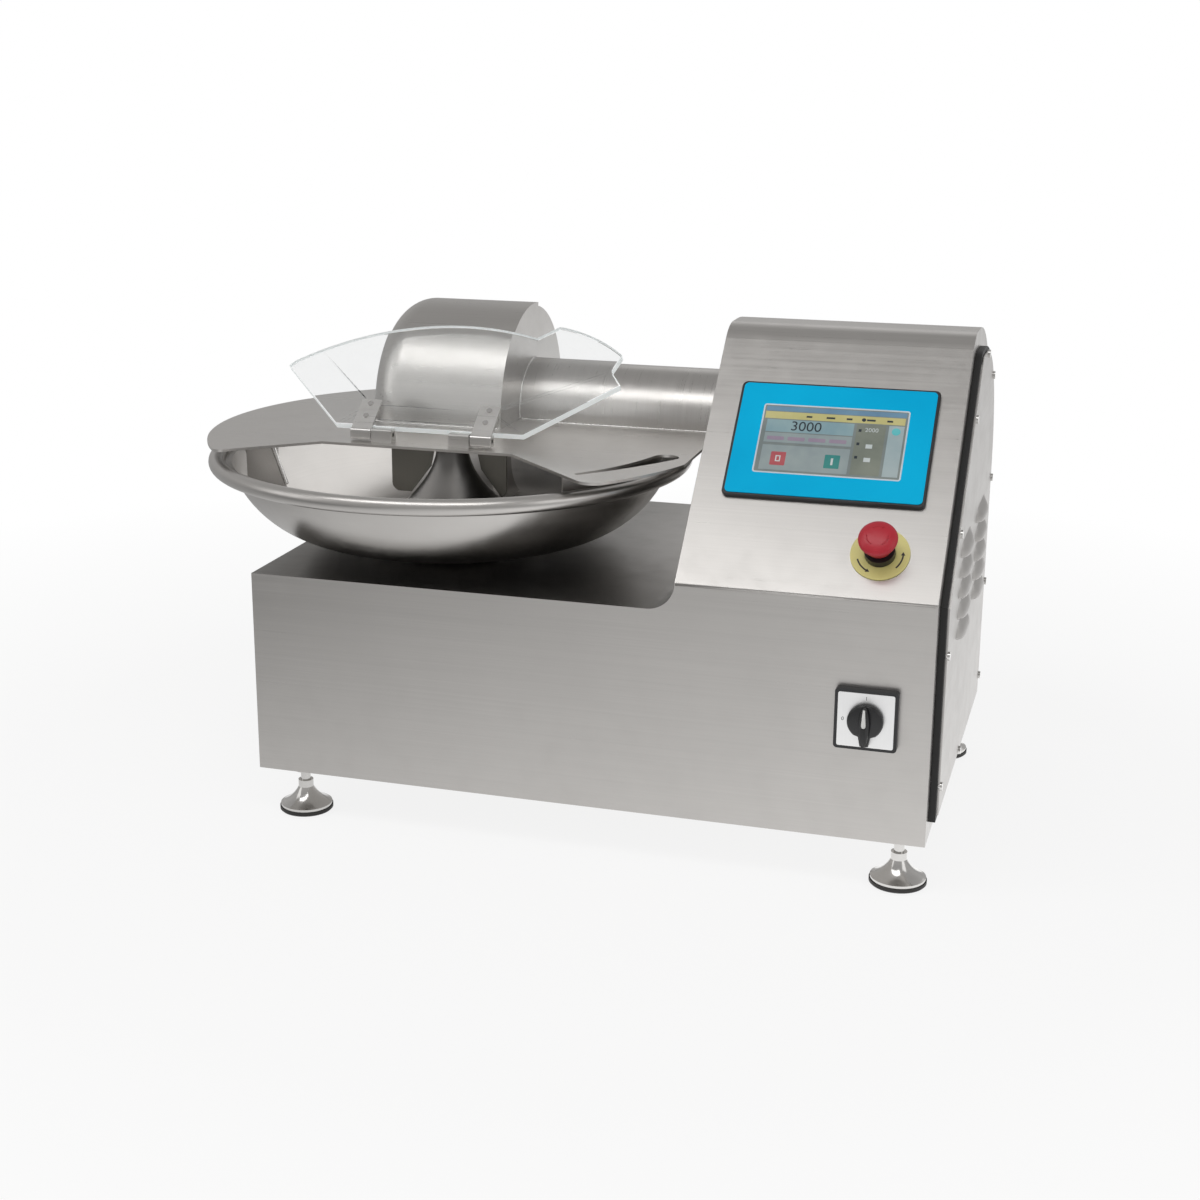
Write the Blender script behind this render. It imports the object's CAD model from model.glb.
import bpy
import bmesh
from math import cos, pi, radians, sin
from mathutils import Matrix, Vector
from mathutils.geometry import convex_hull_2d


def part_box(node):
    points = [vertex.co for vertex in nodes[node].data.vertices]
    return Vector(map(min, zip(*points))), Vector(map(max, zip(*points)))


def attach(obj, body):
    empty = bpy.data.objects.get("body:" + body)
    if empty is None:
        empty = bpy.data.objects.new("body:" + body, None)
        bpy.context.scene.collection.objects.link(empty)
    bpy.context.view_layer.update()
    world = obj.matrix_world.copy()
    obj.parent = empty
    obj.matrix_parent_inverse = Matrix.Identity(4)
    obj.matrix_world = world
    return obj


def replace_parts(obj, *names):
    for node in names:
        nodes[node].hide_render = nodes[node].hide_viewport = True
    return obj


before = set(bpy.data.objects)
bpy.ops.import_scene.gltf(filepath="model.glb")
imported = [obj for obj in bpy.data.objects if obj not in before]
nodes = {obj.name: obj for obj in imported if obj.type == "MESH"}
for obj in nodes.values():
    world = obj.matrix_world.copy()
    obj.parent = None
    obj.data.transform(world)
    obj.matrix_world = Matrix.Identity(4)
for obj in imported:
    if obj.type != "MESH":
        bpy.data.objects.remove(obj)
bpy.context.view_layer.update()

# ---- Places, in metres ----------------------------------------------------------------------------

BOWL_X = -0.16125
SHAFT_Y, SHAFT_Z = 0.136, 0.417
FRONT_Y = -0.204
FOLD_Z = 0.312
CONSOLE_LEFT, HOUSING_RIGHT = 0.15475, 0.42125
SLOPE = radians(45.5)
GUARD_LEAN = radians(38)
# Where the panel and the stop button sit on the slope: across, and up from the fold
PANEL = (0.28985, 0.1779)
PANEL_TOP = 0.006
ESTOP = (0.35715, 0.05175)
SWITCH = (0.35655, -0.204, 0.188)
CORNERS = ("front_left", "front_right", "rear_left", "rear_right")


def on_slope(x, up, out=0.0):
    """A point on the sloped console face: across, up the slope from the fold, and out of it."""
    y = FRONT_Y + up * cos(SLOPE) - out * sin(SLOPE)
    z = FOLD_Z + up * sin(SLOPE) + out * cos(SLOPE)
    return Vector((x, y, z))


def slope_matrix(x, up, out=0.0):
    """Local x along the fold, local y up the slope, local z out of the face."""
    return Matrix.Translation(on_slope(x, up, out)) @ Matrix.Rotation(SLOPE, 4, "X")


# ---- Materials ------------------------------------------------------------------------------------

# Metres of grain that one radian round an axis stands for
TURN_LENGTH = 0.02
# The lines round which turned metal is turned
BOWL_AXIS = ("z", (BOWL_X, 0, 0))
SHAFT_AXIS = ("x", (0, SHAFT_Y, SHAFT_Z))


class Shader:
    """A material whose nodes are added one call at a time."""

    def __init__(self, name):
        self.material = bpy.data.materials.new(name)
        self.material.use_nodes = True
        self.tree = self.material.node_tree
        self.tree.nodes.clear()
        self.out = self.tree.nodes.new("ShaderNodeOutputMaterial")
        self.body = self.tree.nodes.new("ShaderNodeBsdfPrincipled")
        self.link(self.body.outputs[0], self.out.inputs["Surface"])
        self.place = self.tree.nodes.new("ShaderNodeTexCoord").outputs["Object"]

    def link(self, a, b):
        self.tree.links.new(a, b)

    def set(self, **values):
        """Sets sockets of the main surface, with _ for each space in a socket's name."""
        for name, value in values.items():
            self.body.inputs[name.replace("_", " ")].default_value = value

    def math(self, kind, a, b=None):
        node = self.tree.nodes.new("ShaderNodeMath")
        node.operation = kind
        for socket, value in zip(node.inputs, (a, b)):
            if value is None:
                continue
            if isinstance(value, (int, float)):
                socket.default_value = value
            else:
                self.link(value, socket)
        return node.outputs[0]

    def scaled(self, vector, scale):
        node = self.tree.nodes.new("ShaderNodeMapping")
        node.inputs["Scale"].default_value = scale
        self.link(vector, node.inputs["Vector"])
        return node.outputs[0]

    def round_axis(self, axis, centre):
        """Coordinates round a line along an axis: along it, out from it, and the angle round it."""
        shift = self.tree.nodes.new("ShaderNodeVectorMath")
        shift.operation = "SUBTRACT"
        shift.inputs[1].default_value = centre
        self.link(self.place, shift.inputs[0])
        split = self.tree.nodes.new("ShaderNodeSeparateXYZ")
        self.link(shift.outputs[0], split.inputs[0])
        along, first, second = {
            "x": (split.outputs[0], split.outputs[1], split.outputs[2]),
            "z": (split.outputs[2], split.outputs[0], split.outputs[1]),
        }[axis]
        square = self.math("ADD", self.math("MULTIPLY", first, first), self.math("MULTIPLY", second, second))
        radius = self.math("SQRT", square)
        angle = self.math("ARCTAN2", second, first)
        join = self.tree.nodes.new("ShaderNodeCombineXYZ")
        self.link(along, join.inputs[0])
        self.link(radius, join.inputs[1])
        self.link(self.math("MULTIPLY", angle, TURN_LENGTH), join.inputs[2])
        return join.outputs[0]

    def noise(self, vector, scale=1.0, detail=3.0, roughness=0.55):
        node = self.tree.nodes.new("ShaderNodeTexNoise")
        node.inputs["Scale"].default_value = scale
        node.inputs["Detail"].default_value = detail
        node.inputs["Roughness"].default_value = roughness
        self.link(vector, node.inputs["Vector"])
        return node.outputs["Fac"]

    def ramp(self, value, *stops):
        node = self.tree.nodes.new("ShaderNodeValToRGB")
        ends = node.color_ramp.elements
        while len(ends) < len(stops):
            ends.new(0.5)
        for end, (place, colour) in zip(ends, stops):
            end.position = place
            end.color = (*colour, 1.0) if len(colour) == 3 else colour
        self.link(value, node.inputs[0])
        return node.outputs[0]

    def span(self, value, low, high, first, last):
        """A value from low to high, mapped onto first to last."""
        node = self.tree.nodes.new("ShaderNodeMapRange")
        for socket, number in zip(list(node.inputs)[1:5], (low, high, first, last)):
            socket.default_value = number
        self.link(value, node.inputs[0])
        return node.outputs[0]

    def mix(self, share, a, b):
        node = self.tree.nodes.new("ShaderNodeMix")
        node.data_type = "RGBA"
        for socket, value in ((node.inputs[0], share), (node.inputs[6], a), (node.inputs[7], b)):
            if isinstance(value, (int, float)):
                socket.default_value = value
            elif isinstance(value, (tuple, list)):
                socket.default_value = (*value, 1.0)[:4]
            else:
                self.link(value, socket)
        return node.outputs[2]

    def bump(self, height, strength, distance=0.0002):
        node = self.tree.nodes.new("ShaderNodeBump")
        node.inputs["Strength"].default_value = strength
        node.inputs["Distance"].default_value = distance
        self.link(height, node.inputs["Height"])
        self.link(node.outputs[0], self.body.inputs["Normal"])


def tone(colour, gain):
    return tuple(min(1.0, part * gain) for part in colour)


def grained_metal(
    name, colour, rough, grain, strength=0.05, spread=0.07, contrast=0.07, axis=None, centre=None, shade=None
):
    """Metal with a fine grain: grain is how many lines a metre the noise has along each coordinate.

    shade is a function that gives the share of a duller tone at each place, and that tone's gain.
    """
    s = Shader(name)
    place = s.round_axis(axis, centre) if axis else s.place
    lines = s.noise(s.scaled(place, grain), detail=4.0, roughness=0.6)
    streaks = s.noise(s.scaled(place, tuple(part * 0.22 for part in grain)), detail=2.0)
    clouds = s.noise(s.place, scale=7.0, detail=4.0, roughness=0.6)
    handled = s.noise(s.place, scale=38.0, detail=5.0, roughness=0.65)
    both = s.math("ADD", s.math("MULTIPLY", lines, 0.6), s.math("MULTIPLY", streaks, 0.4))
    metal = s.ramp(both, (0.3, tone(colour, 1 - contrast)), (0.72, tone(colour, 1 + contrast)))
    aged = s.mix(s.span(clouds, 0.35, 0.75, 0.0, 0.3), metal, tone(colour, 0.9))
    if shade:
        share, gain = shade(s)
        aged = s.mix(share, aged, tone(colour, gain))
    s.link(aged, s.body.inputs["Base Color"])
    rough_lines = s.span(both, 0.3, 0.7, rough - spread, rough + spread)
    rough_hands = s.span(handled, 0.45, 0.8, 0.0, 0.08)
    s.link(s.math("ADD", rough_lines, rough_hands), s.body.inputs["Roughness"])
    s.bump(both, strength)
    s.set(Metallic=1.0)
    return s.material


def moulded(name, colour, rough, grain=900.0, strength=0.12, worn=0.2):
    """Moulded plastic or rubber: a fine spark-eroded grain, slightly uneven gloss and rubbed tone."""
    s = Shader(name)
    pits = s.noise(s.place, scale=grain, detail=2.0)
    wear = s.noise(s.place, scale=60.0, detail=4.0, roughness=0.65)
    rubbed = tone(tuple(part + 0.02 for part in colour), 1.25)
    s.link(s.mix(s.span(wear, 0.42, 0.75, 0.0, worn), colour, rubbed), s.body.inputs["Base Color"])
    s.link(s.span(wear, 0.3, 0.75, rough - 0.05, rough + 0.08), s.body.inputs["Roughness"])
    s.bump(pits, strength, 0.0001)
    return s.material


STEEL = (0.50, 0.485, 0.468)
BRIGHT = (0.60, 0.59, 0.575)
DULL = (0.15, 0.145, 0.13)
# The deck's duller tone: below a height, whole to the left of one place and gone to the right of another
DECK_BELOW, DECK_DULL_END, DECK_BRIGHT_START, DECK_GAIN = 0.3, 0.02, 0.13, 0.58
# The cone's darker tone: whole inside one radius, gone outside another
CONE_INNER, CONE_OUTER, CONE_GAIN = 0.045, 0.07, 0.25


def parts_of(s):
    """The place's three coordinates, and how far the surface faces up."""
    place = s.tree.nodes.new("ShaderNodeSeparateXYZ")
    s.link(s.place, place.inputs[0])
    facing = s.tree.nodes.new("ShaderNodeSeparateXYZ")
    s.link(s.tree.nodes.new("ShaderNodeTexCoord").outputs["Normal"], facing.inputs[0])
    return place.outputs[0], place.outputs[1], place.outputs[2], facing.outputs[2]


def deck_tone(s):
    """The deck under the bowl is darker towards the left, as in the photograph."""
    x, _, z, up = parts_of(s)
    flat = s.math("MULTIPLY", s.math("GREATER_THAN", up, 0.9), s.math("LESS_THAN", z, DECK_BELOW))
    return s.math("MULTIPLY", flat, s.span(x, DECK_DULL_END, DECK_BRIGHT_START, 1.0, 0.0)), DECK_GAIN


def cone_tone(s):
    """The cone in the middle of the bowl is darker than the trough."""
    split = s.tree.nodes.new("ShaderNodeSeparateXYZ")
    s.link(s.round_axis(*BOWL_AXIS), split.inputs[0])
    return s.span(split.outputs[1], CONE_INNER, CONE_OUTER, 1.0, 0.0), CONE_GAIN


sheet_x = grained_metal("sheet_grain_across", STEEL, 0.33, (5.0, 1500.0, 1500.0), shade=deck_tone)
sheet_side = grained_metal("side_grain", STEEL, 0.36, (1500.0, 5.0, 1500.0))
lid_steel = grained_metal("lid_grain", tone(STEEL, 1.2), 0.32, (6.0, 1300.0, 1300.0))
turned_bowl = grained_metal(
    "bowl_turned", tone(STEEL, 1.04), 0.3, (700.0, 700.0, 12.0), 0.006, 0.03, 0.035, *BOWL_AXIS, cone_tone
)
turned_tube = grained_metal("tube_turned", STEEL, 0.3, (1300.0, 1300.0, 40.0), 0.03, 0.05, 0.06, *SHAFT_AXIS)
drum_steel = grained_metal("drum_brushed", STEEL, 0.31, (5.0, 1300.0, 1300.0), 0.04)
dull_steel = grained_metal("splash_grain", DULL, 0.4, (1500.0, 1500.0, 5.0))
blade_steel = grained_metal(
    "blade_ground", BRIGHT, 0.2, (1200.0, 1200.0, 60.0), 0.05, 0.05, 0.06, *SHAFT_AXIS
)
polished = grained_metal("polished_steel", BRIGHT, 0.13, (900.0, 900.0, 900.0), 0.02, 0.04, 0.04)
screw_steel = grained_metal("screw_steel", BRIGHT, 0.2, (1500.0, 1500.0, 1500.0), 0.04, 0.05, 0.06)
hinge_steel = grained_metal("hinge_milled", tone(BRIGHT, 1.12), 0.3, (8.0, 1600.0, 1600.0), 0.05, 0.05, 0.06)
weld_steel = grained_metal("weld_bead", BRIGHT, 0.26, (600.0, 600.0, 600.0), 0.12, 0.06, 0.1)
shaft_steel = grained_metal(
    "shaft_ground", (0.45, 0.45, 0.46), 0.22, (1500.0, 1500.0, 40.0), 0.04, 0.05, 0.06, *SHAFT_AXIS
)
cast_alloy = grained_metal("cast_alloy", (0.62, 0.62, 0.62), 0.5, (500.0, 500.0, 500.0), 0.2, 0.08, 0.08)
foot_steel = [
    grained_metal(
        "foot_turned_" + corner,
        BRIGHT, 0.14, (700.0, 700.0, 20.0), 0.03, 0.04, 0.05, "z",
        tuple((low + high) / 2 for low, high in zip(*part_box("foot_stem_" + corner))),
    )
    for corner in CORNERS
]
plate_metal = grained_metal(
    "switch_plate_metal", (0.86, 0.86, 0.86), 0.4, (1800.0, 1800.0, 8.0), 0.04, 0.05, 0.04
)

motor_paint = moulded("motor_enamel", (0.05, 0.07, 0.09), 0.38, 500.0, 0.08)
frame_paint = moulded("frame_enamel", (0.16, 0.16, 0.165), 0.5, 500.0, 0.1)
seal_rubber = moulded("seal_rubber", (0.012, 0.012, 0.012), 0.55, 1200.0, 0.15)
belt_rubber = moulded("belt_rubber", (0.02, 0.02, 0.02), 0.6, 1200.0, 0.15)
pad_rubber = moulded("pad_rubber", (0.018, 0.017, 0.016), 0.6, 1400.0, 0.2)
black_plastic = moulded("black_plastic", (0.014, 0.014, 0.016), 0.32, 1500.0, 0.08)
knob_plastic = moulded("knob_plastic", (0.012, 0.012, 0.013), 0.36, 1800.0, 0.12)
bush_plastic = moulded("bush_polymer", (0.6, 0.57, 0.5), 0.45, 900.0, 0.08)
yellow_plastic = moulded("yellow_plastic", (0.72, 0.66, 0.25), 0.45, 1500.0, 0.08)
mark_black = moulded("mark_black", (0.03, 0.03, 0.03), 0.5, 1500.0, 0.04)
mark_white = moulded("mark_white", (0.82, 0.82, 0.8), 0.4, 1500.0, 0.04, 0.3)
red_plastic = moulded("red_plastic", (0.46, 0.012, 0.028), 0.36, 1300.0, 0.08, 0.2)


def clear_sheet():
    """Clear acrylic: faint rub marks on its faces, and sawn edges that scatter the light."""
    s = Shader("clear_acrylic")
    marks = s.noise(s.scaled(s.place, (60.0, 60.0, 60.0)), detail=5.0, roughness=0.7)
    s.link(s.span(marks, 0.6, 0.9, 0.0, 0.012), s.body.inputs["Roughness"])
    clear_tones = ((0.915, 0.92, 0.92), (0.885, 0.892, 0.892))
    s.link(s.mix(s.span(marks, 0.3, 0.8, 0.0, 1.0), *clear_tones), s.body.inputs["Base Color"])
    s.set(Transmission_Weight=1.0, IOR=1.49)
    edge = s.tree.nodes.new("ShaderNodeBsdfPrincipled")
    saw = s.noise(s.scaled(s.place, (700.0, 700.0, 700.0)), detail=3.0)
    s.link(s.ramp(saw, (0.3, (0.7, 0.73, 0.73)), (0.7, (0.86, 0.88, 0.88))), edge.inputs["Base Color"])
    s.link(s.span(saw, 0.3, 0.7, 0.2, 0.4), edge.inputs["Roughness"])
    edge.inputs["Transmission Weight"].default_value = 0.2
    edge.inputs["Emission Color"].default_value = (0.9, 0.95, 0.95, 1.0)
    edge.inputs["Emission Strength"].default_value = 0.34
    facing = s.tree.nodes.new("ShaderNodeVectorMath")
    facing.operation = "DOT_PRODUCT"
    facing.inputs[1].default_value = (0.0, -sin(GUARD_LEAN), cos(GUARD_LEAN))
    s.link(s.tree.nodes.new("ShaderNodeTexCoord").outputs["Normal"], facing.inputs[0])
    is_edge = s.math("LESS_THAN", s.math("ABSOLUTE", facing.outputs["Value"]), 0.8)
    parts = s.tree.nodes.new("ShaderNodeMixShader")
    s.link(is_edge, parts.inputs[0])
    s.link(s.body.outputs[0], parts.inputs[1])
    s.link(edge.outputs[0], parts.inputs[2])
    clear = s.tree.nodes.new("ShaderNodeBsdfTransparent")
    clear.inputs[0].default_value = (0.93, 0.94, 0.94, 1.0)
    choose = s.tree.nodes.new("ShaderNodeMixShader")
    path = s.tree.nodes.new("ShaderNodeLightPath")
    s.link(path.outputs["Is Shadow Ray"], choose.inputs[0])
    s.link(parts.outputs[0], choose.inputs[1])
    s.link(clear.outputs[0], choose.inputs[2])
    s.link(choose.outputs[0], s.out.inputs["Surface"])
    return s.material


acrylic = clear_sheet()


def gloss_face(name, colour, other, rough):
    """The printed back of a glossy foil: an even colour that drifts a little across the panel."""
    s = Shader(name)
    drift = s.noise(s.place, scale=9.0, detail=2.0)
    dust = s.noise(s.place, scale=420.0, detail=4.0, roughness=0.7)
    s.link(s.mix(s.span(drift, 0.3, 0.7, 0.0, 1.0), colour, other), s.body.inputs["Base Color"])
    s.link(s.span(dust, 0.4, 0.8, rough, rough + 0.12), s.body.inputs["Roughness"])
    s.bump(dust, 0.03, 0.00005)
    s.set(Specular_IOR_Level=0.06)
    return s.material


blue_face = gloss_face("blue_foil", (0.0, 0.43, 0.76), (0.001, 0.49, 0.83), 0.4)


def lit(name, colour, other, glow):
    """A patch of a lit screen: its colour drifts, and it glows softly."""
    s = Shader(name)
    drift = s.noise(s.scaled(s.place, (30.0, 30.0, 30.0)), detail=3.0)
    mixed = s.mix(s.span(drift, 0.35, 0.65, 0.0, 1.0), colour, other)
    s.link(mixed, s.body.inputs["Base Color"])
    s.link(mixed, s.body.inputs["Emission Color"])
    s.link(s.span(drift, 0.3, 0.7, 0.35, 0.5), s.body.inputs["Roughness"])
    s.set(Emission_Strength=glow, Specular_IOR_Level=0.2)
    return s.material


screen_tones = {
    "edge": lit("screen_edge", (0.5, 0.56, 0.6), (0.58, 0.64, 0.68), 0.1),
    "back": lit("screen_back", (0.17, 0.2, 0.2), (0.22, 0.25, 0.24), 0.1),
    "top": lit("screen_top_bar", (0.12, 0.22, 0.33), (0.15, 0.27, 0.38), 0.12),
    "yellow": lit("screen_yellow", (0.46, 0.43, 0.18), (0.52, 0.48, 0.22), 0.12),
    "readout": lit("screen_readout", (0.2, 0.31, 0.35), (0.26, 0.37, 0.39), 0.12),
    "band": lit("screen_band", (0.24, 0.29, 0.3), (0.29, 0.34, 0.34), 0.12),
    "olive": lit("screen_olive", (0.17, 0.19, 0.16), (0.22, 0.24, 0.2), 0.1),
    "pale": lit("screen_pale", (0.3, 0.38, 0.4), (0.36, 0.43, 0.44), 0.12),
    "ink": lit("screen_ink", (0.03, 0.04, 0.05), (0.04, 0.05, 0.06), 0.02),
    "light": lit("screen_light", (0.5, 0.55, 0.55), (0.56, 0.6, 0.6), 0.1),
    "red": lit("screen_red", (0.36, 0.07, 0.09), (0.42, 0.1, 0.11), 0.1),
    "green": lit("screen_green", (0.03, 0.2, 0.19), (0.05, 0.24, 0.22), 0.1),
    "cyan": lit("screen_cyan", (0.1, 0.45, 0.48), (0.14, 0.5, 0.52), 0.12),
    "violet": lit("screen_violet", (0.27, 0.22, 0.29), (0.31, 0.26, 0.32), 0.1),
}

# ---- Materials on the frame's own pieces ----------------------------------------------------------

finishes = (
    (sheet_x, "housing_shell bottom_plate"),
    (screw_steel, "foot_bosses cover_screws bowl_nut hinge_pins guard_screws"),
    (sheet_side, "side_cover bowl_scraper scraper_bracket"),
    (seal_rubber, "cover_seal shaft_seal"),
    (turned_bowl, "bowl bowl_hub bowl_turret"),
    (shaft_steel, "bowl_shaft bowl_bearings shaft_bearings knife_shaft motor_shaft"),
    (motor_paint, "bowl_gearmotor knife_motor"),
    (turned_tube, "shaft_housing lid_sleeve"),
    (blade_steel, "knife_spacers knife_nut knife_blade_1 knife_blade_2 knife_blade_3"),
    (cast_alloy, "knife_pulley motor_pulley"),
    (belt_rubber, "drive_belts"),
    (frame_paint, "drive_frame"),
    (lid_steel, "lid_plate rear_cover"),
    (drum_steel, "knife_cover rear_knife_guard"),
    (bush_plastic, "lid_bushes"),
    (dull_steel, "splash_wall"),
    (polished, "temperature_probe"),
    (acrylic, "safety_guard"),
    (hinge_steel, "hinge_blocks hinge_leaves"),
    (black_plastic, "touch_panel_housing estop_body switch_body cable_gland"),
    (blue_face, "touch_panel_glass"),
    (yellow_plastic, "estop_ring"),
    (red_plastic, "estop_button"),
    (plate_metal, "switch_plate"),
    (knob_plastic, "switch_knob"),
)
coat = {name: material for material, names in finishes for name in names.split()}
for corner, metal in zip(CORNERS, foot_steel):
    coat["foot_stem_" + corner] = metal
    coat["foot_pad_" + corner] = pad_rubber
for name, material in coat.items():
    mesh = nodes[name].data
    mesh.materials.clear()
    mesh.materials.append(material)

# Rounded edges that catch the light
EDGE_JOIN, EDGE_ANGLE = 0.00002, radians(38)
edge_widths = {
    "housing_shell": 0.0011, "lid_plate": 0.0008, "rear_cover": 0.0008,
    "safety_guard": 0.0009, "touch_panel_housing": 0.0004,
    "switch_body": 0.0008, "switch_plate": 0.0003, "estop_ring": 0.0004, "shaft_housing": 0.0007,
    "lid_sleeve": 0.0005, "knife_cover": 0.0006, "rear_knife_guard": 0.0006, "bowl_turret": 0.0005,
    "splash_wall": 0.0004, "bowl_scraper": 0.0006, "scraper_bracket": 0.001, "cover_seal": 0.0012,
    "cable_gland": 0.0006, "drive_frame": 0.0008, "touch_panel_glass": 0.0003,
}
for name, width in edge_widths.items():
    weld = nodes[name].modifiers.new("joined", "WELD")
    weld.merge_threshold = EDGE_JOIN
    bevel = nodes[name].modifiers.new("soft_edges", "BEVEL")
    bevel.width = width
    bevel.segments = 2
    bevel.limit_method = "ANGLE"
    bevel.angle_limit = EDGE_ANGLE
    bevel.use_clamp_overlap = True
    normals = nodes[name].modifiers.new("flat_faces", "WEIGHTED_NORMAL")
    normals.keep_sharp = True

# ---- New pieces -----------------------------------------------------------------------------------


def piece(name, mesh_maker, materials, body, smooth=True):
    """A piece made by a function that fills a bmesh, riding on a body."""
    mesh = bpy.data.meshes.new(name)
    work = bmesh.new()
    mesh_maker(work)
    bmesh.ops.recalc_face_normals(work, faces=work.faces)
    work.to_mesh(mesh)
    work.free()
    made = bpy.data.objects.new(name, mesh)
    bpy.context.scene.collection.objects.link(made)
    for material in materials:
        mesh.materials.append(material)
    for face in mesh.polygons:
        face.use_smooth = smooth
    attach(made, body)
    return made


def ring(work, points):
    return [work.verts.new(point) for point in points]


def loft(work, rings, material=0):
    """Joins closed rings of equal length, end to end, and closes both ends."""
    for first, second in zip(rings, rings[1:]):
        for i in range(len(first)):
            j = (i + 1) % len(first)
            work.faces.new((first[i], first[j], second[j], second[i])).material_index = material
    work.faces.new(list(reversed(rings[0]))).material_index = material
    work.faces.new(rings[-1]).material_index = material


def slab(work, outline, matrix, low, high, material=0, ease=0.0):
    """A flat plate with the outline given, its upper edge eased."""
    middle = sum((Vector(point) for point in outline), Vector((0, 0))) / len(outline)

    def at(height, inset):
        made = []
        for point in outline:
            side = Vector(point) - middle
            reach = side.length
            share = 1 - inset / reach if reach > inset else 1
            made.append(matrix @ Vector((*(middle + side * share), height)))
        return ring(work, made)

    rings = [at(low, 0.0), at(high - ease, 0.0)]
    if ease:
        rings.append(at(high, ease))
    loft(work, rings, material)


def rectangle(x0, y0, x1, y1, radius=0.0, steps=4):
    """A rectangle's outline, with round corners where a radius is given."""
    if not radius:
        return [(x0, y0), (x1, y0), (x1, y1), (x0, y1)]
    left, right, low, high = x0 + radius, x1 - radius, y0 + radius, y1 - radius
    made = []
    for cx, cy, start in ((right, low, -90), (right, high, 0), (left, high, 90), (left, low, 180)):
        for step in range(steps + 1):
            turn = radians(start + 90 * step / steps)
            made.append((cx + radius * cos(turn), cy + radius * sin(turn)))
    return made


def disc(x, y, radius, steps):
    """A regular outline round a point, which is a circle where it has many steps."""
    turns = [2 * pi * i / steps for i in range(steps)]
    return [(x + radius * cos(turn), y + radius * sin(turn)) for turn in turns]


# The screen behind the blue face: lit patches, each a thin plate a little further out
panel_at = slope_matrix(*PANEL, PANEL_TOP)
SCREEN_WIDTH, SCREEN_HEIGHT = 0.1505, 0.0825
SCREEN_EDGE, SCREEN_EDGE_RADIUS, SCREEN_EDGE_TOP = 0.0016, 0.003, 0.00006
LAYER = 0.00008
FIGURE_TOP = 3 * LAYER
screen_keys = list(screen_tones)
# Tone, lower left and upper right corner in shares of the screen, layer, corner radius
SCREEN_PATCHES = (
    ("back", 0.0, 0.0, 1.0, 1.0, 0, 0.0015),
    ("top", 0.01, 0.915, 0.99, 0.985, 1, 0.0),
    ("yellow", 0.01, 0.80, 0.985, 0.905, 1, 0.0),
    ("readout", 0.03, 0.60, 0.64, 0.785, 1, 0.0),
    ("band", 0.03, 0.44, 0.64, 0.585, 1, 0.0),
    ("band", 0.03, 0.03, 0.64, 0.40, 1, 0.0),
    ("olive", 0.66, 0.03, 0.86, 0.785, 1, 0.0),
    ("pale", 0.88, 0.03, 0.985, 0.785, 1, 0.0),
    ("red", 0.10, 0.10, 0.205, 0.30, 2, 0.001),
    ("green", 0.475, 0.10, 0.58, 0.30, 2, 0.001),
    ("light", 0.135, 0.155, 0.17, 0.245, 3, 0.0),
    ("red", 0.143, 0.17, 0.162, 0.23, 4, 0.0),
    ("light", 0.52, 0.15, 0.535, 0.25, 3, 0.0),
)
BAND_KEYS, BAND_KEY_PITCH = 4, 0.145
LIST_ROWS, LIST_PITCH = 3, 0.2
MENU_MARKS, MENU_PITCH = 5, 0.14
# Tone, centre in shares of the screen, radius and number of sides
SCREEN_DOTS = (("cyan", 0.932, 0.70, 0.0045, 24), ("ink", 0.70, 0.85, 0.0022, 20))


def on_screen(x, y):
    """A place given in shares of the screen, in metres from its middle."""
    return (x - 0.5) * SCREEN_WIDTH, (y - 0.5) * SCREEN_HEIGHT


def patch(work, key, x0, y0, x1, y1, layer, radius=0.0):
    """A patch of the screen in shares of its width and height, measured from its lower left."""
    outline = rectangle(*on_screen(x0, y0), *on_screen(x1, y1), radius)
    slab(work, outline, panel_at, 0.0, LAYER * (layer + 1), screen_keys.index(key))


def screen(work):
    x, y = SCREEN_WIDTH / 2 + SCREEN_EDGE, SCREEN_HEIGHT / 2 + SCREEN_EDGE
    outline = rectangle(-x, -y, x, y, SCREEN_EDGE_RADIUS)
    slab(work, outline, panel_at, 0.0, SCREEN_EDGE_TOP, screen_keys.index("edge"))
    for key, x0, y0, x1, y1, layer, radius in SCREEN_PATCHES:
        patch(work, key, x0, y0, x1, y1, layer, radius)
    for i in range(BAND_KEYS):
        x = BAND_KEY_PITCH * i
        patch(work, "violet", 0.05 + x, 0.475, 0.17 + x, 0.53, 2, 0.001)
    for i in range(LIST_ROWS):
        y = -LIST_PITCH * i
        if i:
            patch(work, "light", 0.74, 0.63 + y, 0.785, 0.69 + y, 2)
        patch(work, "ink", 0.675, 0.67 + y, 0.695, 0.71 + y, 2)
    for i in range(MENU_MARKS):
        x = MENU_PITCH * i
        patch(work, "ink", 0.30 + x, 0.835, 0.34 + x + 0.02 * (i % 2), 0.862, 2)
    for key, x, y, radius, sides in SCREEN_DOTS:
        outline = disc(*on_screen(x, y), radius, sides)
        slab(work, outline, panel_at, 0.0, FIGURE_TOP, screen_keys.index(key))


piece("panel_screen", screen, [screen_tones[key] for key in screen_keys], "machine", False)


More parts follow.
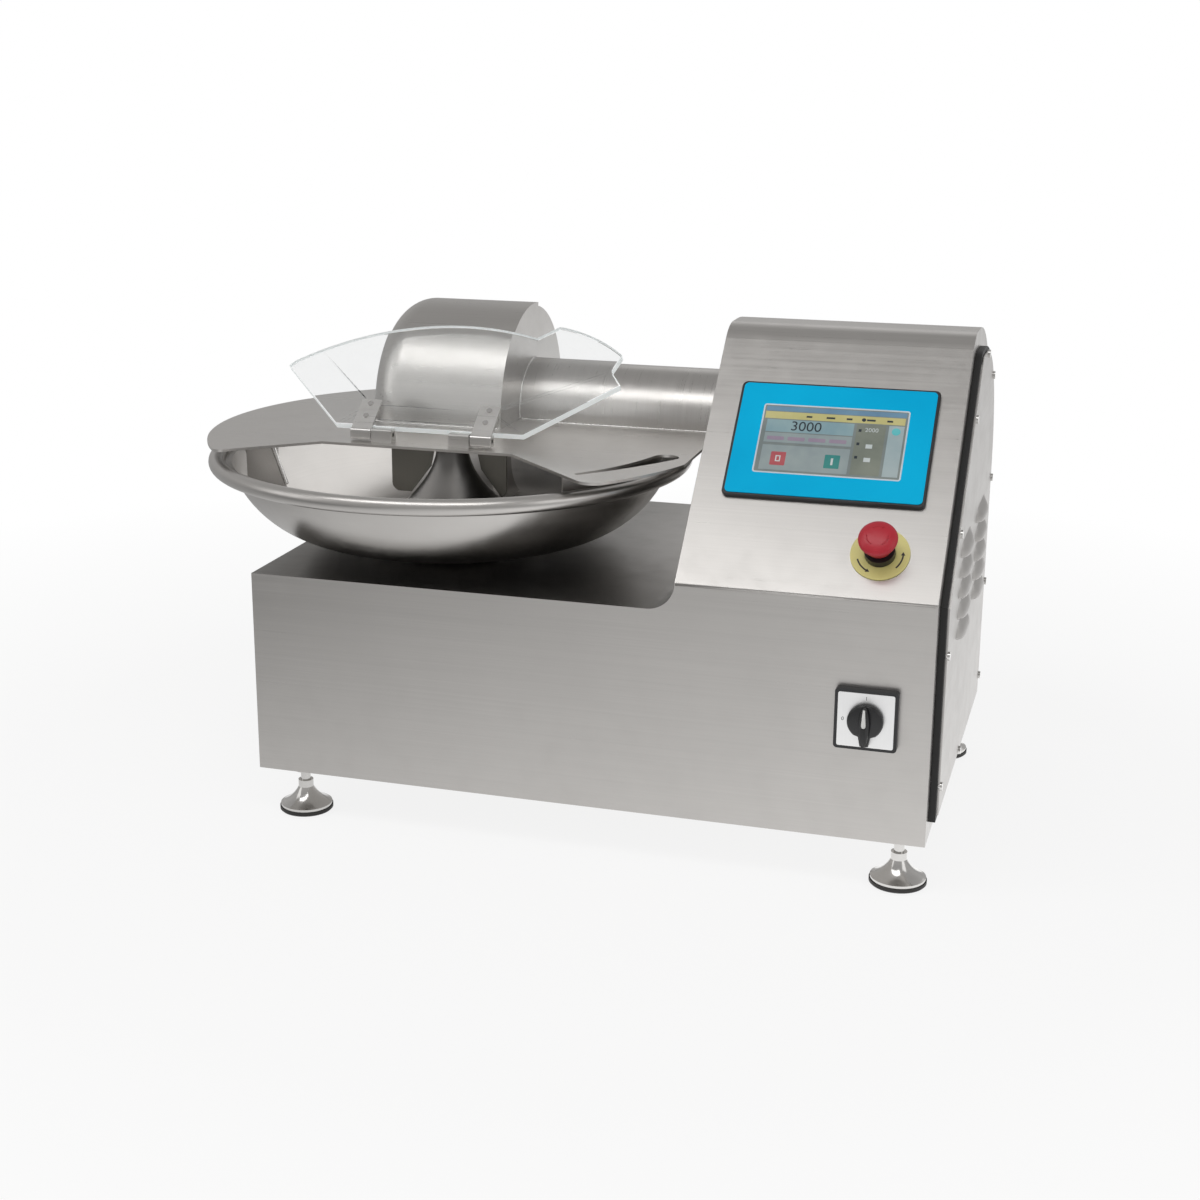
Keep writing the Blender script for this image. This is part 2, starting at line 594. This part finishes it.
def lettering(name, text, size, matrix, material, body, depth=0.00008):
    """Plain figures as a thin raised mesh."""
    curve = bpy.data.curves.new(name + "_line", "FONT")
    curve.body = text
    curve.size = size
    curve.align_x = "CENTER"
    curve.align_y = "CENTER"
    curve.extrude = depth / 2
    draft = bpy.data.objects.new(name + "_draft", curve)
    bpy.context.scene.collection.objects.link(draft)
    bpy.context.view_layer.update()
    mesh = bpy.data.meshes.new_from_object(draft.evaluated_get(bpy.context.evaluated_depsgraph_get()))
    mesh.name = name
    mesh.transform(matrix @ Matrix.Translation((0, 0, depth / 2)))
    bpy.data.objects.remove(draft)
    bpy.data.curves.remove(curve)
    made = bpy.data.objects.new(name, mesh)
    bpy.context.scene.collection.objects.link(made)
    mesh.materials.clear()
    mesh.materials.append(material)
    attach(made, body)
    return made


def screen_figures(name, text, x, y, size, key):
    """Figures on the screen, with their middle given in shares of it."""
    place = panel_at @ Matrix.Translation((*on_screen(x, y), FIGURE_TOP))
    lettering(name, text, size, place, screen_tones[key], "machine")


screen_figures("readout_figures", "3000", 0.31, 0.69, 0.0165, "ink")
screen_figures("upper_figures", "2000", 0.765, 0.70, 0.007, "light")

# The rotary switch: a round knob with a raised grip that runs down into a tail
switch_at = Matrix.Translation(SWITCH) @ Matrix.Rotation(radians(90), 4, "X")
PLATE_TOP = 0.0092
KNOB_STEPS = 48
KNOB_LIFT = 0.0004
# Height and radius of the round base, from the plate up
KNOB_LEVELS = ((0.0, 0.0178), (0.0012, 0.0182), (0.0045, 0.0182), (0.0062, 0.0172), (0.0068, 0.0158))
TAIL_REACH, TAIL_HALF_WIDTH, TAIL_START = 0.0085, 0.0062, 0.86
TAIL_TAPER = 0.35
# Height and half width of the grip across the base
GRIP_LEVELS = ((0.004, 0.0068), (0.012, 0.0056), (0.0142, 0.0048), (0.0149, 0.0034))
GRIP_UP, GRIP_DOWN = 0.0165, 0.0245
GRIP_DRAFT, GRIP_SQUARENESS, GRIP_TAPER = 0.12, 0.6, 0.25


def knob_point(radius, turn):
    """A point of the base's outline: round, with a tapering tail that points down."""
    x, y = radius * sin(turn), radius * cos(turn)
    lean = -cos(turn)
    if lean > TAIL_START:
        share = (lean - TAIL_START) / (1 - TAIL_START)
        y -= TAIL_REACH * share
        half = TAIL_HALF_WIDTH * (1 - TAIL_TAPER * share)
        x = (half if x > 0 else -half) if abs(x) > 1e-9 else 0.0
    return x, y


def grip_point(height, half, turn):
    """A point of the grip's outline: a squared oval that reaches further down than up."""
    x, y = half * sin(turn), cos(turn)
    squared = abs(y) ** GRIP_SQUARENESS
    if y > 0:
        reach = GRIP_UP + (GRIP_LEVELS[-1][0] - height) * GRIP_DRAFT
    else:
        reach = -GRIP_DOWN
    return x * (1.0 - GRIP_TAPER * squared), squared * reach


def knob(work):
    turns = [2 * pi * i / KNOB_STEPS for i in range(KNOB_STEPS)]
    base, grip = [], []
    for height, radius in KNOB_LEVELS:
        points = [(*knob_point(radius, turn), PLATE_TOP + KNOB_LIFT + height) for turn in turns]
        base.append(ring(work, [switch_at @ Vector(point) for point in points]))
    for height, half in GRIP_LEVELS:
        points = [(*grip_point(height, half, turn), PLATE_TOP + height) for turn in turns]
        grip.append(ring(work, [switch_at @ Vector(point) for point in points]))
    loft(work, base)
    loft(work, grip)


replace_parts(piece("selector_knob", knob, [knob_plastic], "switch_grip"), "switch_knob")

# The pointer set into the top of the grip
POINTER_LOW, POINTER_HIGH, POINTER_EASE = 0.0138, 0.0152, 0.0003
POINTER_TIP, POINTER_TAIL = (0.0, 0.0163), (0.0, -0.0034)
# One side of the pointer, from its tip to its tail
POINTER_SIDE = ((0.0011, 0.0158), (0.0016, 0.010), (0.0022, 0.001), (0.0022, -0.0015), (0.0014, -0.003))


def pointer(work):
    mirrored = [(-x, y) for x, y in reversed(POINTER_SIDE)]
    outline = [POINTER_TIP, *POINTER_SIDE, POINTER_TAIL, *mirrored]
    slab(work, outline, switch_at, PLATE_TOP + POINTER_LOW, PLATE_TOP + POINTER_HIGH, ease=POINTER_EASE)


piece("selector_pointer", pointer, [mark_white], "switch_grip")
FIGURE_SIZE, FIGURE_REACH = 0.0055, 0.0232
for name, text, x, y in (
    ("switch_figure_on", "1", 0.0, FIGURE_REACH),
    ("switch_figure_off", "0", -FIGURE_REACH, 0.0),
):
    place = switch_at @ Matrix.Translation((x, y, PLATE_TOP))
    lettering(name, text, FIGURE_SIZE, place, mark_black, "machine")

# Twist arrows on the stop button's ring
stop_at = slope_matrix(*ESTOP)
ARROW_LOW, ARROW_HIGH = 0.0014, 0.00158
ARROW_INNER, ARROW_OUTER = 0.0222, 0.0238
ARROW_STARTS, ARROW_STEP, ARROW_POINTS = (80, 200, 320), 5, 9
HEAD_INNER, HEAD_MIDDLE, HEAD_OUTER, HEAD_REACH = 0.0208, 0.023, 0.0252, 10


def polar(radius, turn):
    return radius * cos(turn), radius * sin(turn)


def arc_band(inner, outer, turns):
    """The outline of a band between two radii."""
    return [polar(inner, turn) for turn in turns] + [polar(outer, turn) for turn in reversed(turns)]


def arrows(work):
    for start in ARROW_STARTS:
        turns = [radians(start + ARROW_STEP * step) for step in range(ARROW_POINTS)]
        slab(work, arc_band(ARROW_INNER, ARROW_OUTER, turns), stop_at, ARROW_LOW, ARROW_HIGH)
        base, tip = turns[-1], turns[-1] + radians(HEAD_REACH)
        head = [polar(HEAD_INNER, base), polar(HEAD_OUTER, base), polar(HEAD_MIDDLE, tip)]
        slab(work, head, stop_at, ARROW_LOW, ARROW_HIGH)


piece("stop_ring_arrows", arrows, [mark_black], "machine", False)

# The folded sheet's edge along the foot of the slope: section as (out of the front, up), and its ends
LIP_SECTION = ((0.0, 0.0), (-0.0009, -0.0002), (-0.0011, -0.0012), (-0.0006, -0.0022), (0.0, -0.0024))
LIP_DROP = 0.0008
LIP_ENDS = (CONSOLE_LEFT + 0.001, HOUSING_RIGHT - 0.0012)


def fold_lip(work):
    rings = []
    for x in LIP_ENDS:
        rings.append(ring(work, [(x, FRONT_Y + y, FOLD_Z - LIP_DROP + z) for y, z in LIP_SECTION]))
    loft(work, rings)


piece("fold_lip", fold_lip, [sheet_x], "machine")

BEAD_SIDES, BEAD_WOBBLE, BEAD_RIPPLE = 8, 0.12, 2.4


def bead(name, path, radius):
    """A weld bead on the lid: a rippled round section laid along a path of points."""

    def make(work):
        points = [Vector(point) for point in path]
        rings = []
        for i, point in enumerate(points):
            ahead, behind = points[min(i + 1, len(points) - 1)], points[max(i - 1, 0)]
            along = (ahead - behind).normalized()
            side = along.orthogonal().normalized()
            if rings:
                side = (side_before - along * side_before.dot(along)).normalized()
            side_before = side
            up = along.cross(side)
            size = radius * (1 + BEAD_WOBBLE * sin(i * BEAD_RIPPLE))
            turns = [2 * pi * k / BEAD_SIDES for k in range(BEAD_SIDES)]
            rings.append(ring(work, [point + size * (side * cos(turn) + up * sin(turn)) for turn in turns]))
        loft(work, rings)

    piece(name, make, [weld_steel], "lid")


# Squared knuckles and leaves in place of the plain round ones
HINGE_Y, HINGE_Z = -0.08, 0.419
# Middles of the lid's knuckles and of the guard's, from the bowl's axis
BLOCKS, LEAVES = (-0.052, 0.040), (-0.077, 0.065)
HALF_WIDTH = 0.012
# The lid's knuckle about the hinge line: square, with its two upper corners eased
KNUCKLE_SECTION = (
    (-0.0070, -0.0080), (0.0070, -0.0080), (0.0070, 0.0050), (0.0064, 0.0062),
    (0.0050, 0.0068), (-0.0050, 0.0068), (-0.0064, 0.0062), (-0.0070, 0.0050),
)
GUARD_KNUCKLE, GUARD_KNUCKLE_RADIUS = 0.0063, 0.0026
LEAF_LENGTH, LEAF_LOW, LEAF_HIGH = 0.045, 0.00452, 0.00698
LEAF_CORNER, LEAF_EASE = 0.0008, 0.0003


def knuckle(work, middle, section):
    """A bar along x with a closed section of (y, z) points about the hinge line."""
    ends = (BOWL_X + middle - HALF_WIDTH, BOWL_X + middle + HALF_WIDTH)
    loft(work, [ring(work, [(x, HINGE_Y + y, HINGE_Z + z) for y, z in section]) for x in ends])


def lid_knuckles(work):
    for middle in BLOCKS:
        knuckle(work, middle, KNUCKLE_SECTION)


def guard_leaves(work):
    half = GUARD_KNUCKLE
    section = rectangle(-half, -half, half, half, GUARD_KNUCKLE_RADIUS)
    lean = Matrix.Translation((BOWL_X, HINGE_Y, HINGE_Z)) @ Matrix.Rotation(GUARD_LEAN, 4, "X")
    for middle in LEAVES:
        knuckle(work, middle, section)
        outline = rectangle(middle - HALF_WIDTH, 0.0, middle + HALF_WIDTH, LEAF_LENGTH, LEAF_CORNER, 2)
        slab(work, outline, lean, LEAF_LOW, LEAF_HIGH, ease=LEAF_EASE)


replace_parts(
    piece("lid_knuckles", lid_knuckles, [hinge_steel], "lid", False), "hinge_blocks"
)
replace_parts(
    piece("guard_leaves", guard_leaves, [hinge_steel], "guard", False), "hinge_leaves"
)

# The stop button's mushroom head, as (radius, height out of the slope) from its stem to its crown
HEAD_STEPS = 48
HEAD_PROFILE = (
    (0.0089, 0.0105), (0.0089, 0.0164), (0.0134, 0.0164), (0.0140, 0.0168), (0.0143, 0.0205),
    (0.0152, 0.0232), (0.0176, 0.0262), (0.0190, 0.0282), (0.0197, 0.0300), (0.0198, 0.0312),
    (0.0194, 0.0326), (0.0184, 0.0339), (0.0160, 0.0355), (0.0125, 0.0368), (0.0085, 0.0376),
    (0.0040, 0.0380), (0.0008, 0.0381),
)
RIB_INNER, RIB_OUTER, RIB_LOW, RIB_HIGH = 0.0102, 0.0114, 0.0368, 0.03745
RIB_STARTS, RIB_STEP, RIB_POINTS = (60, 180, 300), 9, 8


def stop_head(work):
    """A low dome over a skirt that narrows towards the collar, with three raised arcs on its crown."""
    turns = [2 * pi * i / HEAD_STEPS for i in range(HEAD_STEPS)]
    rings = []
    for radius, height in HEAD_PROFILE:
        rings.append(ring(work, [stop_at @ Vector((*polar(radius, turn), height)) for turn in turns]))
    loft(work, rings)
    for start in RIB_STARTS:
        turns = [radians(start + RIB_STEP * step) for step in range(RIB_POINTS)]
        slab(work, arc_band(RIB_INNER, RIB_OUTER, turns), stop_at, RIB_LOW, RIB_HIGH)


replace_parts(piece("stop_head", stop_head, [red_plastic], "estop_head"), "estop_button")

# Hexagon bolts under the bowl, round its hub
BOLT_CIRCLE, BOLT_COUNT, BOLT_FOOT = 0.110, 8, 0.2905
BOLT_RADIUS, BOLT_SIDES, BOLT_LOW, BOLT_HIGH = 0.0056, 6, 0.0008, 0.0074
BOLT_NECK_RADIUS, BOLT_NECK_SIDES, BOLT_NECK_HIGH = 0.0046, 20, 0.0009


def bowl_bolts(work):
    for i in range(BOLT_COUNT):
        x, y = polar(BOLT_CIRCLE, 2 * pi * (i + 0.5) / BOLT_COUNT)
        place = Matrix.Translation((BOWL_X + x, y, BOLT_FOOT))
        slab(work, disc(0, 0, BOLT_RADIUS, BOLT_SIDES), place, BOLT_LOW, BOLT_HIGH)
        slab(work, disc(0, 0, BOLT_NECK_RADIUS, BOLT_NECK_SIDES), place, 0.0, BOLT_NECK_HIGH)


piece("bowl_bolts", bowl_bolts, [screw_steel], "bowl_set", False)

# Weld beads where the drum and the sleeve stand on the lid, and where the sleeve meets the drum
LID_TOP, LID_RIGHT = 0.411, 0.13675
SLEEVE_FRONT, SLEEVE_RADIUS = 0.0788, 0.0575
DRUM_FRONT, DRUM_RIGHT = 0.0106, -0.10525
DRUM_WELD_START, DRUM_WELD_LENGTH = DRUM_RIGHT - 0.001, 0.127
WELD_SHIFT = 0.0004
WELD_Z = LID_TOP + WELD_SHIFT
SLEEVE_BEAD, DRUM_BEAD, END_BEAD = 0.0012, 0.0011, 0.0013


def weld_line(x0, x1, front, steps):
    """Points of a straight weld along x on the lid, just in front of a wall."""
    return [(x0 + (x1 - x0) * i / steps, front - WELD_SHIFT, WELD_Z) for i in range(steps + 1)]


bead("sleeve_weld", weld_line(DRUM_RIGHT, LID_RIGHT, SLEEVE_FRONT, 60), SLEEVE_BEAD)
drum_line = weld_line(DRUM_WELD_START, DRUM_WELD_START - DRUM_WELD_LENGTH, DRUM_FRONT, 40)
bead("drum_weld", drum_line, DRUM_BEAD)
sleeve_end = []
for turn in range(-5, 96, 3):
    back, up = polar(SLEEVE_RADIUS + WELD_SHIFT, radians(turn))
    sleeve_end.append((DRUM_RIGHT + WELD_SHIFT, SHAFT_Y - back, SHAFT_Z + up))
bead("sleeve_end_weld", sleeve_end, END_BEAD)

# The side cover with its louvres as smooth pressed hoods
COVER_X, COVER_TOP = 0.42825, 0.43025
HOOD_LENGTH, HOOD_HEIGHT, HOOD_RISE = 0.088, 0.015, 0.008
HOOD_COLUMNS, HOOD_ROWS, HOOD_FIRST_ROW, HOOD_PITCH = (-0.049, 0.106), 5, 0.339, 0.022
HOOD_ALONG, HOOD_ACROSS = 20, 8
HOOD_END_POWER, HOOD_SWELL_POWER, HOOD_RISE_POWER = 3.2, 0.6, 1.15
HOOD_LIP_LENGTH, HOOD_LIP_DROP = 0.96, 0.38
HOOD_SINK, HOOD_LIP_SINK = 0.0001, 0.0002


def pressed_cover(work):
    """The cover's sheet, with the outline of the frame's own, and its hoods."""
    flat = [v.co for v in nodes["side_cover"].data.vertices if abs(v.co.x - COVER_X) < 0.0001]
    order = convex_hull_2d([(point.y, point.z) for point in flat])
    outline = [(flat[i].y, flat[i].z) for i in order]
    loft(work, [ring(work, [(x, y, z) for y, z in outline]) for x in (COVER_X, COVER_TOP)])
    for middle in HOOD_COLUMNS:
        for row in range(HOOD_ROWS):
            hood(work, middle, HOOD_FIRST_ROW - row * HOOD_PITCH)


def hood(work, y, z):
    """One hood: it swells out of the sheet, rounded at both ends, and stands open along its lower edge."""
    grid = []
    for i in range(HOOD_ALONG + 1):
        share = 2 * i / HOOD_ALONG - 1
        swell = max(0.0, 1 - abs(share) ** HOOD_END_POWER) ** HOOD_SWELL_POWER
        along = share * HOOD_LENGTH / 2
        points = []
        for j in range(HOOD_ACROSS + 1):
            drop = j / HOOD_ACROSS
            rise = HOOD_RISE * swell * sin(drop * pi / 2) ** HOOD_RISE_POWER
            points.append((COVER_TOP - HOOD_SINK + rise, y + along, z + HOOD_HEIGHT * (0.5 - drop)))
        lip_y, lip_z = y + along * HOOD_LIP_LENGTH, z - HOOD_HEIGHT * HOOD_LIP_DROP
        points.append((COVER_TOP - HOOD_LIP_SINK, lip_y, lip_z))
        grid.append(ring(work, points))
    for first, second in zip(grid, grid[1:]):
        for j in range(HOOD_ACROSS + 1):
            made = work.faces.new((first[j], first[j + 1], second[j + 1], second[j]))
            made.material_index = 1 if j == HOOD_ACROSS else 0


cover_look = piece("pressed_cover", pressed_cover, [sheet_side, seal_rubber], "machine")
for polygon in cover_look.data.polygons:
    polygon.use_smooth = polygon.area < 0.0001
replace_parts(cover_look, "side_cover")

# ---- Floor, backdrop, lights, camera --------------------------------------------------------------


# What steel sees in the floor, by place: it is brightest close by and a little to the right.
# Axis, place and place, gain at the first and gain at the second
FLOOR_IN_STEEL = (
    ("x", -0.7, 0.5, 0.66, 1.25), ("y", -1.3, -0.3, 0.72, 1.12),
    ("x", 0.45, 1.0, 1.0, 0.6), ("x", -0.9, -0.5, 0.6, 1.0),
)
# The floor's own shading shows up to a distance from the middle, and is gone at another
SHADE_REACH, SHADE_END = 0.7, 1.6
FLOOR_SIZE, FLOOR_DROP = 14.0, 0.0004
FLOOR_TONE, FLOOR_WHITE = (0.86, 0.86, 0.86), 0.84


def pale_stage(name, colour, white):
    """A pale surface: near the object, white is the share shown as plain white over its own shading."""
    s = Shader(name)
    grain = s.noise(s.place, scale=3.0, detail=2.0)
    s.link(s.mix(s.span(grain, 0.3, 0.7, 0.0, 1.0), colour, tone(colour, 0.99)), s.body.inputs["Base Color"])
    s.set(Roughness=0.8)
    glow = s.tree.nodes.new("ShaderNodeEmission")
    glow.inputs[0].default_value = (1.0, 1.0, 1.0, 1.0)
    path = s.tree.nodes.new("ShaderNodeLightPath").outputs
    x, y, _, _ = parts_of(s)
    mirrored = 1.0
    for axis, *limits in FLOOR_IN_STEEL:
        mirrored = s.math("MULTIPLY", s.span(x if axis == "x" else y, *limits), mirrored)
    steel_ray = s.math("SUBTRACT", path["Is Glossy Ray"], path["Is Transmission Ray"])
    change = s.math("MULTIPLY", s.math("SUBTRACT", mirrored, 1.0), s.math("MAXIMUM", steel_ray, 0.0))
    s.link(s.math("ADD", change, 1.0), glow.inputs[1])
    bounced = s.math("MAXIMUM", path["Is Glossy Ray"], path["Is Transmission Ray"])
    seen = s.math("MAXIMUM", path["Is Camera Ray"], bounced)
    reach = s.tree.nodes.new("ShaderNodeVectorMath")
    reach.operation = "LENGTH"
    s.link(s.place, reach.inputs[0])
    plain = s.span(reach.outputs["Value"], SHADE_REACH, SHADE_END, white, 1.0)
    choose = s.tree.nodes.new("ShaderNodeMixShader")
    s.link(s.math("MULTIPLY", seen, plain), choose.inputs[0])
    s.link(s.body.outputs[0], choose.inputs[1])
    s.link(glow.outputs[0], choose.inputs[2])
    s.link(choose.outputs[0], s.out.inputs["Surface"])
    return s.material


bpy.ops.mesh.primitive_plane_add(size=FLOOR_SIZE, location=(0, 0, -FLOOR_DROP))
floor = bpy.context.object
floor.name = "floor"
floor.data.materials.append(pale_stage("floor_pale", FLOOR_TONE, FLOOR_WHITE))

# Brightness of the room by height, from straight down to straight up
ROOM_STOPS = ((0.0, 0.6), (0.5, 0.55), (0.57, 0.6), (0.68, 0.68), (0.8, 0.6), (0.9, 0.56), (1.0, 0.56))
ROOM_STRENGTH = 0.8


def studio():
    """A soft room that lights the object, shown as plain white to the camera and through the guard."""
    world = bpy.data.worlds.new("studio")
    bpy.context.scene.world = world
    world.use_nodes = True
    tree = world.node_tree
    tree.nodes.clear()
    add, link = tree.nodes.new, tree.links.new
    split = add("ShaderNodeSeparateXYZ")
    link(add("ShaderNodeTexCoord").outputs["Generated"], split.inputs[0])
    height = add("ShaderNodeMapRange")
    height.inputs[1].default_value = -1.0
    link(split.outputs[2], height.inputs[0])
    levels = add("ShaderNodeValToRGB")
    link(height.outputs[0], levels.inputs[0])
    ends = levels.color_ramp.elements
    while len(ends) < len(ROOM_STOPS):
        ends.new(0.5)
    for end, (place, level) in zip(ends, ROOM_STOPS):
        end.position = place
        end.color = (level, level * 0.99, level * 0.98, 1.0)
    soft = add("ShaderNodeBackground")
    link(levels.outputs[0], soft.inputs[0])
    soft.inputs[1].default_value = ROOM_STRENGTH
    white = add("ShaderNodeBackground")
    white.inputs[0].default_value = (1.0, 1.0, 1.0, 1.0)
    path = add("ShaderNodeLightPath").outputs
    seen = add("ShaderNodeMath")
    seen.operation = "MAXIMUM"
    link(path["Is Camera Ray"], seen.inputs[0])
    link(path["Is Transmission Ray"], seen.inputs[1])
    choose = add("ShaderNodeMixShader")
    link(seen.outputs[0], choose.inputs[0])
    link(soft.outputs[0], choose.inputs[1])
    link(white.outputs[0], choose.inputs[2])
    link(choose.outputs[0], add("ShaderNodeOutputWorld").inputs["Surface"])


studio()


def softbox(name, place, target, width, height, power):
    """A rectangular lamp, which the camera doesn't see."""
    lamp = bpy.data.lights.new(name, "AREA")
    lamp.shape = "RECTANGLE"
    lamp.size = width
    lamp.size_y = height
    lamp.energy = power
    made = bpy.data.objects.new(name, lamp)
    bpy.context.scene.collection.objects.link(made)
    made.location = place
    made.rotation_euler = (Vector(target) - Vector(place)).to_track_quat("-Z", "Y").to_euler()
    made.visible_camera = False


# Name, place, what it points at, width, height and power in watts
LAMPS = (
    ("key_light", (-0.2, -1.06, 2.1), (0, 0, 0.4), 2.3, 0.72, 13.5),
    ("left_light", (-2.2, -1.2, 1.4), (0, 0, 0.3), 1.2, 1.4, 4),
    ("right_light", (2.3, -0.9, 1.2), (0.2, 0, 0.3), 1.2, 1.6, 5),
    ("back_light", (0.3, 2.2, 1.7), (0, 0, 0.4), 2.0, 1.0, 2.5),
    # Just under the lid, so that the trough isn't lost in the dark
    ("trough_light", (-0.23, 0.06, 0.4045), (-0.23, 0.06, 0.2), 0.26, 0.26, 0.27),
)
for lamp in LAMPS:
    softbox(*lamp)

CAMERA_PLACE = (0.60275, -2.0191, 0.8460)
YAW, PITCH, ROLL = 0.2995, 0.2778, 0.0018
SENSOR_WIDTH, LENS, SHIFT_X, SHIFT_Y, FARTHEST = 36.0, 57.195, 0.0261, -0.0159, 60.0
camera_data = bpy.data.cameras.new("photo_camera")
camera_data.sensor_width = SENSOR_WIDTH
camera_data.lens = LENS
camera_data.shift_x = SHIFT_X
camera_data.shift_y = SHIFT_Y
camera_data.clip_end = FARTHEST
camera = bpy.data.objects.new("photo_camera", camera_data)
bpy.context.scene.collection.objects.link(camera)
camera.location = CAMERA_PLACE
level = Matrix.Rotation(YAW, 4, "Z") @ Matrix.Rotation(pi / 2 - PITCH, 4, "X")
camera.rotation_euler = (level @ Matrix.Rotation(ROLL, 4, "Z")).to_euler()
scene = bpy.context.scene
scene.camera = camera
scene.view_settings.view_transform = "Standard"
scene.cycles.max_bounces = 16
scene.cycles.glossy_bounces = 8
